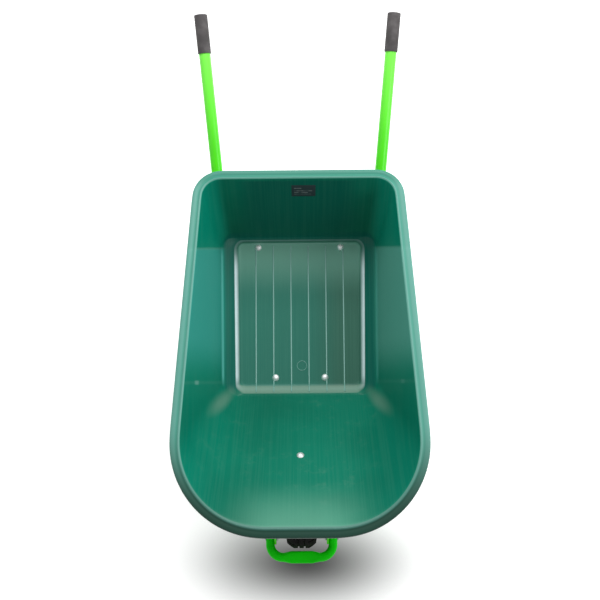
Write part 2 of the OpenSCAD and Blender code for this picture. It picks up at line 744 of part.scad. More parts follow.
module hex_nut(d, h) {
    difference() {
        cylinder(d = 1.6 * d * across_corners, h = h, $fn = 6);
        translate([0, 0, -eps]) cylinder(d = d, h = h + 2 * eps);
    }
}

module wheel_nuts() {
    color([0.75, 0.77, 0.8]) wheel_bolt_places()
        translate([0, 0, -disc_t - nut_h]) hex_nut(bolt_d, nut_h);
}

// Tyre
tyre_wall = 9;
bead_t = 12;
crown_w = 44;              // width of the tyre's flat crown
groove_w = 5;
groove_deep = 5;
block_count = 26;
shoulder_r = wheel_d / 2 - 14;
belly_r = (bead_d / 2 + wheel_d / 2) / 2 - 4;
belly_up = (shoulder_r - belly_r) * 8 / 21;
belly_down = (belly_r - bead_d / 2) * 64 / 171;

module tyre_profile(inset) {
    r0 = bead_d / 2 + 0.2;
    w = tyre_w / 2 - inset;
    polygon([for (p = [[r0, rim_half - disc_t - 0.3 - inset], [r0 + lip_h + 3, rim_half - 2 - inset],
        [belly_r - belly_down, w - 2], [belly_r, w], [belly_r + belly_up, w - 0.5],
        [shoulder_r - inset, w - 5],
        [wheel_d / 2 - 5 - inset, crown_w / 2 + 9 - inset / 2], [wheel_d / 2 - inset, crown_w / 2],
        [wheel_d / 2 - inset, -crown_w / 2], [wheel_d / 2 - 5 - inset, -crown_w / 2 - 9 + inset / 2],
        [shoulder_r - inset, 5 - w], [belly_r + belly_up, 0.5 - w], [belly_r, -w],
        [belly_r - belly_down, 2 - w],
        [r0 + lip_h + 3, 2 + inset - rim_half], [r0, disc_t + 0.3 + inset - rim_half]]) p]);
}

module tyre() {
    color([0.06, 0.06, 0.06]) difference() {
        turned_x() difference() {
            tyre_profile(0);
            intersection() {
                tyre_profile(tyre_wall);
                translate([bead_d / 2 + 14, -tyre_w]) square([wheel_d, 2 * tyre_w]);
            }
            translate([bead_d / 2 - 1, bead_t - rim_half]) square([17, 2 * (rim_half - bead_t)]);
            for (side = side_names)
                translate([wheel_d / 2 - groove_deep, side * crown_w / 5 - groove_w / 2])
                    square([2 * groove_deep, groove_w]);
        }
        for (side = side_names, i = [0:block_count - 1])
            along_x(0, axle_s, axle_z)
                rotate([0, 0, 360 * (i + (side + 1) / 4) / block_count])
                    translate([shoulder_r - 6, -3, side > 0 ? crown_w / 2 - 4 : -tyre_w])
                        cube([30, 6, tyre_w - crown_w / 2 + 4]);
    }
}

air_mid_r = (bead_d / 2 + 15 + wheel_d / 2 - tyre_wall) / 2;
air_r = wheel_d / 2 - tyre_wall - air_mid_r - 1.2;

module inner_tube() {
    color([0.1, 0.1, 0.1]) turned_x() translate([air_mid_r, 0]) difference() {
        circle(r = air_r);
        circle(r = air_r - 2);
    }
}

// Valve: out through the discs' well, beside the hub
valve_d = 8;
valve_l = 34;
valve_at = 8;
module valve_place() {
    translate([valve_at, y_of(axle_s), axle_z - air_mid_r + air_r + 0.1]) children();
}

module valve_stem() {
    color([0.1, 0.1, 0.1]) valve_place() difference() {
        cylinder(d = valve_d, h = valve_l);
        translate([0, 0, -eps]) cylinder(d = 3, h = valve_l + 2 * eps);
    }
}

module valve_cap() {
    color([0.12, 0.12, 0.12]) valve_place() translate([0, 0, valve_l]) cylinder(d = valve_d + 1.5, h = 9);
}

// Tray bolts
head_h = 5.5;
floor_grip = tray_t + member_wall;
washer_d = 17;

module cup_bolt(grip_t) {
    r = (head_h * head_h + bolt_head_d * bolt_head_d / 4) / (2 * head_h);
    rotate_extrude() intersection() {
        translate([0, head_h - r]) circle(r = r);
        square([bolt_head_d / 2, head_h]);
    }
    translate([0, 0, -grip_t - 1.6 - nut_h - 3]) cylinder(d = bolt_d, h = grip_t + 1.6 + nut_h + 3.5);
}

module flat_washer() {
    difference() {
        cylinder(d = washer_d, h = 1.6);
        translate([0, 0, -eps]) cylinder(d = bolt_d + 2 * bolt_play, h = 3);
    }
}

module at_floor_bolts(down) {
    for (p = floor_bolt_points) pointing(p - down * floor_normal, floor_normal) children();
}

module at_stay_bolt(down) {
    pointing(stay_bolt_point - down * wall_normal, wall_normal) children();
}

module floor_bolts() { color([0.8, 0.8, 0.8]) at_floor_bolts(0) cup_bolt(floor_grip); }

module floor_washers() { color([0.7, 0.7, 0.7]) at_floor_bolts(floor_grip + 1.6) flat_washer(); }

module floor_nuts() {
    color([0.7, 0.7, 0.7]) at_floor_bolts(floor_grip + 1.6 + nut_h) hex_nut(bolt_d, nut_h);
}

module stay_bolt() { color([0.8, 0.8, 0.8]) at_stay_bolt(0) cup_bolt(tray_t + stay_t); }

module stay_washer() {
    color([0.7, 0.7, 0.7]) at_stay_bolt(tray_t + stay_t + 1.6) flat_washer();
}

module stay_nut() {
    color([0.7, 0.7, 0.7]) at_stay_bolt(tray_t + stay_t + 1.6 + nut_h) hex_nut(bolt_d, nut_h);
}

// Bolts that hold the stay's feet to the nose hoop; their heads are outside
module at_foot_bolts() {
    for (side = side_names) translate([side * hoop_w / 2, y_of(foot_s), axle_z])
        rotate([0, -90 * side, 0]) children();
}

foot_grip = hoop_d + stay_t;
module foot_bolts() {
    color([0.75, 0.77, 0.8]) at_foot_bolts() {
        translate([0, 0, -4]) cylinder(d = 1.6 * foot_bolt_d * across_corners, h = 4, $fn = 6);
        cylinder(d = foot_bolt_d, h = foot_grip + 6);
    }
}

module foot_nuts() {
    color([0.75, 0.77, 0.8]) at_foot_bolts() translate([0, 0, foot_grip]) hex_nut(foot_bolt_d, 5);
}

tray();
tray_label();
rail_left();
rail_right();
grip_left();
grip_right();
nose_hoop();
front_stay();
rear_cross_member();
front_cross_member();
leg_left();
leg_right();
leg_brace();
foot_left();
foot_right();
axle_plate_left();
axle_plate_right();
axle_bolt();
axle_nut();
axle_washers();
axle_spacer_left();
axle_spacer_right();
axle_inner_sleeve();
bearing_inner_rings();
bearing_outer_rings();
bearing_balls();
wheel_hub();
wheel_disc_left();
wheel_disc_right();
wheel_bolts();
wheel_nuts();
tyre();
inner_tube();
valve_stem();
valve_cap();
floor_bolts();
floor_washers();
floor_nuts();
stay_bolt();
stay_washer();
stay_nut();
foot_bolts();
foot_nuts();
rail_plug_left();
rail_plug_right();
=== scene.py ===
import json
import math
import bpy
import bmesh
from mathutils import Matrix, Vector

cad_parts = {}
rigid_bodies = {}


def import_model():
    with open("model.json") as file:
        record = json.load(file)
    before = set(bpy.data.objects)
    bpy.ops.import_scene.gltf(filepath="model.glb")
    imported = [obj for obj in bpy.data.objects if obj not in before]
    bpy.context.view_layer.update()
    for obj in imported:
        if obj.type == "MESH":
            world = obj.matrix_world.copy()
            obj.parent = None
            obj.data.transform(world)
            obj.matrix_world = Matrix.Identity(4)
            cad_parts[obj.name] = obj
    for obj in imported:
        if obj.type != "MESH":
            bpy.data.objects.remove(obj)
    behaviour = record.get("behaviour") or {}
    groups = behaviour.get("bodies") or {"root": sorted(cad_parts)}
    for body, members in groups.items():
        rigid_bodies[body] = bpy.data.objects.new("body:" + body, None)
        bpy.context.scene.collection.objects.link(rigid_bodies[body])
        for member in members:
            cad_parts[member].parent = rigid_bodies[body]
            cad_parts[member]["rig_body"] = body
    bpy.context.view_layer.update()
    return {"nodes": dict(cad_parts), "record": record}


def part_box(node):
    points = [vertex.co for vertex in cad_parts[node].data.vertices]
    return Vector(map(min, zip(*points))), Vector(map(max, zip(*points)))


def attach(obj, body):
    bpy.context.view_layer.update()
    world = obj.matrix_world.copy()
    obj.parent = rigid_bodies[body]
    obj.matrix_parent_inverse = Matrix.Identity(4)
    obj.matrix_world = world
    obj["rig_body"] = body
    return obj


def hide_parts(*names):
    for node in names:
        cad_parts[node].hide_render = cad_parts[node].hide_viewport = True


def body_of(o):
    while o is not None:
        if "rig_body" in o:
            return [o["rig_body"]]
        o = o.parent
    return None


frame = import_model()
nodes = frame["nodes"]


def say(text):
    print("stage:", text)


class Wire:
    # one shader socket, so that maths on it can be written as plain expressions
    def __init__(self, finish, socket):
        self.finish, self.socket = finish, socket

    def maths(self, operation, *values):
        return self.finish.node("ShaderNodeMath", {"operation": operation}, *values)

    def __add__(self, other): return self.maths("ADD", self, other)
    def __radd__(self, other): return self.maths("ADD", other, self)
    def __sub__(self, other): return self.maths("SUBTRACT", self, other)
    def __rsub__(self, other): return self.maths("SUBTRACT", other, self)
    def __mul__(self, other): return self.maths("MULTIPLY", self, other)
    def __rmul__(self, other): return self.maths("MULTIPLY", other, self)
    def __truediv__(self, other): return self.maths("DIVIDE", self, other)
    def __pow__(self, other): return self.maths("POWER", self, other)

    def above(self, edge): return self.maths("GREATER_THAN", self, edge)

    def between(self, low, high):
        # 0 under low, 1 over high, smooth in between
        return self.finish.node("ShaderNodeMapRange", {"interpolation_type": "SMOOTHSTEP"},
                                self, low, high, 0.0, 1.0)


class Finish:
    # a material whose nodes are added in reading order
    def __init__(self, name, **bsdf):
        self.material = bpy.data.materials.new(name)
        self.material.use_nodes = True
        self.tree = self.material.node_tree
        self.bsdf = self.tree.nodes["Principled BSDF"]
        for socket, value in bsdf.items():
            self.put(self.bsdf.inputs[socket.replace("_", " ")], value)
        coords = self.tree.nodes.new("ShaderNodeTexCoord")
        self.place = Wire(self, coords.outputs["Object"])

    def put(self, socket, value):
        if isinstance(value, Wire):
            self.tree.links.new(value.socket, socket)
        elif isinstance(value, (tuple, list)) and len(value) == 3 and socket.type == "RGBA":
            socket.default_value = (*value, 1.0)
        else:
            socket.default_value = value

    def node(self, kind, settings=None, *values, out=0, **named):
        made = self.tree.nodes.new(kind)
        for key, value in (settings or {}).items():
            setattr(made, key, value)
        free = [s for s in made.inputs if s.enabled]
        for socket, value in zip(free, values):
            if value is not None:
                self.put(socket, value)
        for key, value in named.items():
            self.put(next(s for s in free if s.name == key.replace("_", " ")), value)
        return Wire(self, [s for s in made.outputs if s.enabled][out])

    def stretched(self, x, y, z):
        return self.node("ShaderNodeMapping", None, self.place, Scale=(x, y, z))

    def noise(self, scale, detail=3.0, roughness=0.5, where=None):
        return self.node("ShaderNodeTexNoise", None, Vector=where or self.place, Scale=scale,
                         Detail=detail, Roughness=roughness)

    def blend(self, factor, first, second):
        return self.node("ShaderNodeMix", {"data_type": "RGBA"}, factor, first, second)

    def parts(self):
        split = self.tree.nodes.new("ShaderNodeSeparateXYZ")
        self.tree.links.new(self.place.socket, split.inputs[0])
        return [Wire(self, s) for s in split.outputs]

    def bump(self, height, strength, distance=0.001):
        self.put(self.bsdf.inputs["Normal"],
                 self.node("ShaderNodeBump", None, Height=height, Strength=strength,
                           Distance=distance))

    def set(self, **bsdf):
        for socket, value in bsdf.items():
            self.put(self.bsdf.inputs[socket.replace("_", " ")], value)
        return self


# tones of the plastic; several of them are painted shade, highlights, sheen or reflections, as marked
# where they are laid
trayTones = {
    "base": (0.001, 0.165, 0.102), "deep": (0.0, 0.122, 0.074), "dustAndSheen": (0.16, 0.28, 0.21),
    "floor": (0.032, 0.168, 0.128), "floorRight": (0.040, 0.122, 0.086),
    "left": (0.045, 0.350, 0.300), "right": (0.110, 0.380, 0.310),
    "foot": (0.14, 0.56, 0.50), "ends": (0.0, 0.100, 0.070), "plain": (0.0, 0.225, 0.148),
    "lip": (0.115, 0.315, 0.260), "bead": (0.20, 0.42, 0.36), "frontRimShade": (0.010, 0.040, 0.026),
    "glow": (0.16, 0.42, 0.30), "edgeHighlight": (0.72, 0.84, 0.88), "ledge": (0.0, 0.112, 0.082),
    "rearFloorSheen": (0.15, 0.36, 0.28)}

# where one zone of the tray fades into the next, in metres
trayFades = {
    # heights over the floor panel
    "panelTop": (0.003, 0.009), "stepFoot": (0.001, 0.004), "ledgeTop": (0.036, 0.046),
    "ribFoot": (0.0004, 0.0012), "ribCrown": (0.003, 0.004), "wallFoot": (0.03, 0.05),
    "footLow": (0.038, 0.045), "footHigh": (0.050, 0.062),
    # distances from the middle line
    "ledgeSide": (0.222, 0.232), "ribSide": (0.14, 0.145), "wallSide": (0.20, 0.235),
    "footSide": (0.205, 0.215), "rearSide": (0.11, 0.20), "plainSide": (0.15, 0.32),
    "glowSide": (0.05, 0.22), "rightFloor": (0.02, 0.14),
    # distances along the barrow
    "footFront": (-0.29, -0.25), "plainFront": (-0.40, -0.20), "rearPale": (-0.02, 0.13),
    "edgeRear": (0.06, 0.13),
    # distances from the side panels' creases
    "panelFront": (0.0, 0.13), "panelRear": (-0.007, 0.004), "footRear": (-0.03, 0.01),
    "creaseFront": (0.001, 0.007), "creaseRear": (0.001, 0.006), "pipLong": (0.002, 0.008),
    "pipWide": (0.001, 0.005),
    # distances out over the rim, and down from it
    "wallOutside": (0.028, 0.032), "lip": (-0.006, 0.0), "lipOuter": (0.004, 0.009),
    "grooveIn": (0.004, 0.008), "grooveOut": (0.010, 0.015), "bead": (0.003, 0.006),
    "underRim": (-0.014, -0.006)}

trayMarks = {
    "cornerReflection": (0.222, -0.332, 0.022, 0.062), "flareTurn": (0.45, 0.89), "flareFade": (0.1, 1.1),
    "panelEnds": ((-0.275, -0.133), (0.127, -0.310)), "panelLow": 0.36, "pipAt": 0.271}


def trayPlastic():
    # moulded plastic with dust and scuffs; most of its zones carry painted shade, highlights, sheen or
    # reflections
    fades, marks = trayFades, trayMarks
    panel, step, base, rim, floorZ = trayLayout(traySizes)
    f = Finish("trayPlastic", IOR=1.5)
    x, y, z = f.parts()
    side = x.maths("ABSOLUTE", x)
    # out counts from the rim's inner edge, and is over 30 mm on the tray's outside
    out = f.node("ShaderNodeAttribute", {"attribute_name": "out"}, out=2)
    inside = 1 - out.between(*fades["wallOutside"])
    cloud = f.noise(3.2, 4.0)
    draw = f.noise(1.0, 3.0, 0.6, f.stretched(260.0, 3.0, 3.0))
    speck = f.noise(420.0, 2.0)
    scuff = f.noise(26.0, 6.0, 0.7)
    streak = draw.between(0.42, 0.62)
    tilt = math.tan(math.radians(traySizes["slope"]))
    lift = z - (y * tilt + floorZ(0.0))
    rimSlope = (rim[7] - rim[6]) / (rim[1] - rim[0])
    under = z - ((y - rim[0]) * rimSlope + rim[6])
    sink = traySizes["sink"]
    dust = scuff.between(0.52, 0.8) * cloud.between(0.35, 0.7)
    onRight = x.above(0.0)

    # the floor panel, its step and its ribs
    inPanel = 1 - lift.between(*fades["panelTop"])
    frontStep = lift.between(*fades["stepFoot"]) * (1 - lift.between(sink - 0.002, sink + 0.001)) \
        * (1 - y.between(panel[0] - 0.004, panel[0] + 0.002)) * y.between(step[0] - 0.004, step[0])
    ledge = lift.between(sink - 0.002, sink) * (1 - lift.between(*fades["ledgeTop"])) \
        * y.between(step[0], step[0] + 0.02) * (1 - side.between(*fades["ledgeSide"]))
    edge = lift.between(sink - 0.013, sink - 0.002) * (1 - lift.between(sink, sink + 0.002)) \
        * y.between(step[0] + 0.004, step[0] + 0.02)
    edgeHighlightFade = (1 - 0.85 * y.between(*fades["edgeRear"])) \
        * (0.25 + 0.75 * y.between(step[0] + 0.012, panel[0] + 0.03))
    ribTop = lift.between(*fades["ribFoot"]) * (1 - lift.between(*fades["ribCrown"])) \
        * (1 - side.between(*fades["ribSide"])) * y.between(panel[0] - 0.002, panel[0] + 0.01)

    # the side panels end on creases that lean forward as they rise
    wall = lift.between(*fades["wallFoot"]) * side.between(*fades["wallSide"])
    fromLow, fromHigh = [y - ((z - marks["panelLow"]) * lean + at)
                         for at, lean in marks["panelEnds"]]
    sidePanel = fromLow.between(*fades["panelFront"]) \
        * (1 - fromHigh.between(*fades["panelRear"])) * wall
    lowEdge, highEdge, pip = [w.maths("ABSOLUTE", w)
                              for w in (fromLow, fromHigh, side - marks["pipAt"])]
    creaseHighlights = (1 - lowEdge.between(*fades["creaseFront"])) * wall * 0.08 \
        + (1 - highEdge.between(*fades["creaseRear"])) * wall * 0.22
    pipGlints = (1 - lowEdge.between(*fades["pipLong"])) * (1 - pip.between(*fades["pipWide"])) * wall
    # a painted highlight runs along the foot of each side wall, stronger on the left
    foot = lift.between(*fades["footLow"]) * (1 - lift.between(*fades["footHigh"])) \
        * side.between(*fades["footSide"]) * y.between(*fades["footFront"]) \
        * (1 - fromHigh.between(*fades["footRear"]))
    onLeft = 1 - 0.6 * onRight

    # the end walls and the rim
    rearWall = y.between(step[1] - 0.004, step[1] + 0.03) \
        * (1 - side.between(*fades["rearSide"])) * (1 - under.between(*fades["underRim"]))
    lip = out.between(*fades["lip"]) * inside
    ahead = 1 - y.between(rim[0] + 0.01, rim[0] + 0.26)
    outer = lip * out.between(*fades["lipOuter"])
    grooveShade = lip * out.between(*fades["grooveIn"]) * (1 - out.between(*fades["grooveOut"]))
    bead = lip * (1 - out.between(*fades["bead"]))
    atRear = lip * y.between(rim[1] - 0.03, rim[1] + 0.005)
    behind = y.between(*fades["plainFront"])
    plain = wall * behind + side.between(*fades["plainSide"]) * (1 - behind) * 0.5
    glow = (1 - y.between(rim[0], rim[0] + 0.12)) * (1 - side.between(*fades["glowSide"])) \
        * (1 - lip)

    # a painted reflection leans out from each front corner of the floor
    flareX, flareY, wide, long = marks["cornerReflection"]
    turnX, turnY = marks["flareTurn"]
    along = (side - flareX) * turnX - (y - flareY) * turnY
    across = (side - flareX) * turnY + (y - flareY) * turnX
    cornerReflection = 1 - (((across / wide) ** 2 + (along / long) ** 2) ** 0.5).between(*marks["flareFade"])

    # each zone is laid over the ones before it, at its own strength
    layers = (
        # the floor's greyer tone is partly painted sheen
        (inPanel * (0.75 + 0.25 * scuff), "floor"),
        # painted shade: the ledge at the foot of the walls is darker
        (ledge, "ledge"),
        (inPanel * x.between(*fades["rightFloor"]) * 0.8, "floorRight"),
        (plain, "plain"),
        # painted shade on the rear wall, which faces away from the light
        (rearWall * 0.9, "ends"),
        # painted light on the side panels: paler than the walls around them, bluer on the left and
        # greyer on the right
        (sidePanel * onRight * 0.85, "right"),
        (sidePanel * (1 - onRight) * 0.8, "left"),
        # painted sheen: the floor is lighter towards the rear wall
        (inPanel * y.between(*fades["rearPale"]), "rearFloorSheen"),
        # painted sheen where the front slope meets the rim
        (glow * 0.45, "glow"),
        # painted light: the band of the front step is paler, in the dust-and-sheen tone
        (frontStep * 0.75, "dustAndSheen"),
        # the rim's paler tone is partly painted sheen, weaker at the rear
        (lip * 0.9, "lip"),
        (atRear * 0.5, "base"),
        # painted highlight along the rim's inner bead, weaker at the front
        (bead * (0.3 - 0.2 * ahead), "bead"),
        # painted shade in a groove along the rim
        (grooveShade * 0.35, "plain"),
        # painted shade over the front of the rim and darker still on its outer edge
        (lip * ahead * 0.45, "frontRimShade"),
        (outer * ahead * 0.92, "frontRimShade"),
        # painted highlight on the crowns of the ribs
        (ribTop * 0.13, "edgeHighlight"),
        # painted highlights along the side panels' creases
        (creaseHighlights * (1 - lip), "bead"),
        # painted reflection at each front corner, in the dust-and-sheen tone
        (cornerReflection * 0.5, "dustAndSheen"),
        # painted highlight along the wall foot, and painted glints where it meets the front creases,
        # stronger on the left
        (foot * onLeft * 0.8, "foot"),
        (pipGlints * onLeft * 0.6, "bead"),
        # painted highlight along the step's upper edge, broken by scuffs and fading towards the rear
        (edge * (0.7 + 0.3 * scuff) * edgeHighlightFade, "edgeHighlight"),
        (streak * (1 - lip) * 0.035, "glow"))
    colour = f.blend(cloud.between(0.3, 0.7), trayTones["deep"], trayTones["base"])
    colour = f.blend(dust * 0.2, colour, trayTones["dustAndSheen"])
    for mask, tone in layers:
        colour = f.blend(mask * inside, colour, trayTones[tone])
    f.set(Base_Color=colour, Roughness=0.36 + 0.14 * draw + 0.10 * dust, Specular_IOR_Level=0.2)
    f.bump(draw * 0.06 + speck * 0.04 + sidePanel * inside, 0.6, 0.0009)
    return f


def paint(name, base, worn, coat=0.15, shine=0.3, farSheen=None):
    # gloss paint; the last tone, where given, is a painted sheen, lighter towards the far end of the
    # handles
    f = Finish(name, IOR=1.5, Coat_Roughness=0.08, Specular_IOR_Level=shine)
    shade = f.noise(7.0, 3.0)
    orange = f.noise(520.0, 1.0)
    colour = f.blend(shade.between(0.3, 0.7), base, worn)
    if farSheen:
        x, y, z = f.parts()
        # painted sheen: the paint turns paler towards the far end of the handles
        colour = f.blend(y.between(0.35, 0.72) * 0.7, colour, farSheen)
    f.set(Base_Color=colour, Roughness=0.26 + 0.12 * shade, Coat_Weight=coat)
    f.bump(orange, 0.12, 0.0003)
    return f


def rubber(name, base, grain, rough=0.62):
    f = Finish(name, IOR=1.5, Specular_IOR_Level=0.15)
    patch = f.noise(30.0, 4.0)
    fine = f.noise(grain, 2.0)
    colour = f.blend(patch.between(0.35, 0.7), base, tuple(1.5 * c + 0.006 for c in base))
    f.set(Base_Color=colour, Roughness=rough + 0.2 * patch)
    f.bump(fine, 0.25, 0.0006)
    return f


# painted shade: the tyre's black is darker than bare rubber, standing in for the shade under the tray
tyreLook = {"shadedBlack": (0.001, 0.001, 0.001), "dust": (0.05, 0.046, 0.04), "grain": 900.0,
            "sidewall": (0.125, 0.172), "tread": 0.18, "shoulder": 0.030, "ringPitch": 1900.0}


def tyreRubber(centre):
    look = tyreLook
    f = rubber("tyreRubber", (0.012, 0.012, 0.012), look["grain"], 0.55)
    x, y, z = f.parts()
    reach = ((y - centre[1]) ** 2 + (z - centre[2]) ** 2) ** 0.5
    rings = reach.maths("SINE", reach * look["ringPitch"])
    inner, outer = look["sidewall"]
    side = x.maths("ABSOLUTE", x).above(look["shoulder"]) * (1 - reach.above(outer)) \
        * reach.above(inner)
    dust = f.noise(40.0, 5.0).between(0.45, 0.75) * reach.above(look["tread"])
    f.set(Base_Color=f.blend(dust * 0.06, look["shadedBlack"], look["dust"]), Specular_IOR_Level=0.03)
    f.bump(rings * side * 0.5 + f.noise(look["grain"]) * 0.3, 0.35, 0.0006)
    return f


def steel(name, base, rough, brushed=0.0):
    f = Finish(name, Metallic=1.0)
    stain = f.noise(60.0, 4.0)
    lines = f.noise(1.0, 2.0, 0.5, f.stretched(40.0, 900.0, 900.0))
    f.set(Base_Color=f.blend(stain.between(0.4, 0.75), base, tuple(0.72 * c for c in base)),
          Roughness=rough + 0.15 * stain + brushed * lines)
    f.bump(lines, 0.08 + brushed, 0.0003)
    return f


# low, high, left and right of each bar, in mm from the label's middle
labelLook = {"film": (0.022, 0.030, 0.036), "bar": (0.3, 0.32, 0.33),
             "bars": ((8, 11, -26, -6), (-1, 1.4, -26, 24), (-7, -4.6, -26, 12),
                      (-13, -11.5, -26, 20))}


def blankLabel(centre):
    # dark film with a few plain pale bars where print would be
    f = Finish("blankLabel", IOR=1.45)
    x, y, z = f.parts()
    up = (z - centre[2]) * 1000.0
    across = (x - centre[0]) * 1000.0
    band = 0.0
    for low, high, left, right in labelLook["bars"]:
        band = (up.above(low) * (1 - up.above(high)) * across.above(left)
                * (1 - across.above(right))) + band
    worn = f.noise(120.0, 4.0)
    f.set(Base_Color=f.blend(band * worn.between(0.25, 0.6) * 0.5, labelLook["film"],
                             labelLook["bar"]),
          Roughness=0.3 + 0.2 * worn)
    f.bump(worn, 0.05)
    return f


def leaveEdit():
    if bpy.context.object and bpy.context.object.mode != "OBJECT":
        bpy.ops.object.mode_set(mode="OBJECT")


def pick(obj):
    leaveEdit()
    bpy.ops.object.select_all(action="DESELECT")
    obj.select_set(True)
    bpy.context.view_layer.objects.active = obj


def settle(obj):
    # the place goes into the mesh, and the object back to the origin
    pick(obj)
    bpy.ops.object.transform_apply(location=True, rotation=True, scale=True)


def modify(obj, kind, **settings):
    pick(obj)
    made = obj.modifiers.new(kind.title(), kind)
    for key, value in settings.items():
        setattr(made, key, value)
    bpy.ops.object.modifier_apply(modifier=made.name)


def dress(obj, finish):
    obj.data.materials.clear()
    obj.data.materials.append(finish.material)


easing = {
    "usual": 0.0006, "angle": 32.0, "smoothAngle": 38.0, "segments": 2, "merge": 1e-6, "flat": 0.4,
    "edges": {"grip_left": 0.004, "grip_right": 0.004, "tyre": 0.0012, "tray_label": 0.0002,
              "foot_left": 0.0012, "foot_right": 0.0012, "front_stay": 0.0008,
              "rail_plug_left": 0.0015, "rail_plug_right": 0.0015},
    "hidden": ("inner_tube", "bearing_balls", "bearing_inner_rings", "bearing_outer_rings",
               "axle_inner_sleeve")}


def softened(node, name, finish):
    # a CAD node copied, its loose triangles merged, its edges eased
    source = nodes[node]
    mesh = source.data.copy()
    obj = bpy.data.objects.new(name, mesh)
    bpy.context.scene.collection.objects.link(obj)
    obj.matrix_world = source.matrix_world.copy()
    settle(obj)
    bpy.ops.object.mode_set(mode="EDIT")
    bpy.ops.mesh.select_all(action="SELECT")
    bpy.ops.mesh.remove_doubles(threshold=easing["merge"])
    bpy.ops.mesh.dissolve_limited(angle_limit=math.radians(easing["flat"]))
    bpy.ops.object.mode_set(mode="OBJECT")
    modify(obj, "BEVEL", width=easing["edges"].get(node, easing["usual"]),
           segments=easing["segments"], limit_method="ANGLE",
           angle_limit=math.radians(easing["angle"]), use_clamp_overlap=True)
    pick(obj)
    bpy.ops.object.shade_smooth_by_angle(angle=math.radians(easing["smoothAngle"]))
    dress(obj, finish)
    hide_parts(node)
    return obj


def grown(o, by, up=0.0):
    return [o[0] - by, o[1] + by, o[2] + by, o[3] + by, max(o[4] + by, 0.002),
            max(o[5] + by, 0.002), o[6] + up, o[7] + up, o[8]]


def panelInside(o, by, up=0.0):
    # an outline drawn in by some distance, still on its own slope
    shift = by * (o[7] - o[6]) / (o[1] - o[0])
    return grown(o, -by)[:6] + [o[6] + shift + up, o[7] - shift + up, o[8]]


def mixed(a, b, t):
    return [p * (1 - t) + q * t for p, q in zip(a, b)]


def outlinePoints(o, straight=5, frontArc=12, side=14, rearArc=8):
    # one closed outline: front, rear, half widths, corner radii and heights at front and rear,
    # and the extra height along its sides
    front, rear, halfFront, halfRear, rFront, rRear, zFront, zRear, sideRise = o
    slope = (zRear - zFront) / (rear - front)
    lean = math.atan((halfRear - halfFront) / (rear - front - rFront - rRear))
    flat = [((halfFront - rFront) * (k + 0.5) / straight, front, 0.0) for k in range(straight)]
    for k in range(frontArc):
        a = -math.pi / 2 + (math.pi / 2 - lean) * k / (frontArc - 1)
        flat.append((halfFront - rFront + rFront * math.cos(a), front + rFront + rFront * math.sin(a),
                     math.cos(a) ** 2))
    rearEnd = (halfRear - rRear + rRear * math.cos(lean), rear - rRear - rRear * math.sin(lean),
               math.cos(lean) ** 2)
    frontEnd = flat[-1]
    for k in range(1, side):
        flat.append(tuple(p + (q - p) * k / side for p, q in zip(frontEnd, rearEnd)))
    for k in range(rearArc):
        a = -lean + (math.pi / 2 + lean) * k / (rearArc - 1)
        flat.append((halfRear - rRear + rRear * math.cos(a), rear - rRear + rRear * math.sin(a),
                     math.cos(a) ** 2))
    flat += [((halfRear - rRear) * (straight - k - 0.5) / straight, rear, 0.0)
             for k in range(straight)]
    right = [Vector((x, y, zFront + slope * (y - front) + sideRise * share)) for x, y, share in flat]
    return right + [Vector((-p.x, p.y, p.z)) for p in reversed(right)]


traySizes = {
    "slope": 8.0, "frontRun": 0.391, "rearRun": 0.128, "frontDepth": 0.359, "rearDepth": 0.257,
    "floorFront": 0.186, "floorRear": 0.190, "floorRadius": 0.026, "sink": 0.016, "ledge": 0.036,
    "ledgeEnd": 0.009, "ledgeRise": 0.006, "stepFront": 0.026, "stepRear": 0.004, "stepSide": 0.012,
    "sideRise": 0.018,
    "rimFront": 0.326, "rimRear": 0.289, "rimFrontRadius": 0.236, "rimRearRadius": 0.078,
    "flange": 0.027, "skirt": 0.024, "wall": 0.004, "ribs": 6, "ribPitch": 0.052, "ribWidth": 0.0036,
    "ribHeight": 0.0016, "gate": (0.005, 0.055), "gateRadius": 0.014, "gateWire": 0.0009}


def trayLayout(s):
    low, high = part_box("tray")
    tilt = math.tan(math.radians(s["slope"]))
    front, rear = low[1] + s["frontRun"], high[1] - s["rearRun"]
    zFront = high[2] - s["frontDepth"]
    floorZ = lambda y: zFront + tilt * (y - front)
    r = s["floorRadius"]
    step = [front, rear, s["floorFront"], s["floorRear"], r, r,
            floorZ(front) + s["sink"], floorZ(rear) + s["sink"], 0.0]
    panel = [front + s["stepFront"], rear - s["stepRear"], s["floorFront"] - s["stepSide"],
             s["floorRear"] - s["stepSide"], r - s["stepSide"], r - s["stepSide"],
             floorZ(front + s["stepFront"]), floorZ(rear - s["stepRear"]), 0.0]
    end, up = s["ledgeEnd"], s["sink"] + s["ledgeRise"]
    base = [front - end, rear + end, s["floorFront"] + s["ledge"], s["floorRear"] + s["ledge"],
            r + 2 * end, r + end, floorZ(front - end) + up, floorZ(rear + end) + up, s["sideRise"]]
    f = s["flange"]
    rim = [low[1] + f, high[1] - f, s["rimFront"] - f, s["rimRear"] - f, s["rimFrontRadius"] - f,
           s["rimRearRadius"] - f, high[2], floorZ(rear) + s["rearDepth"], 0.0]
    return panel, step, base, rim, floorZ


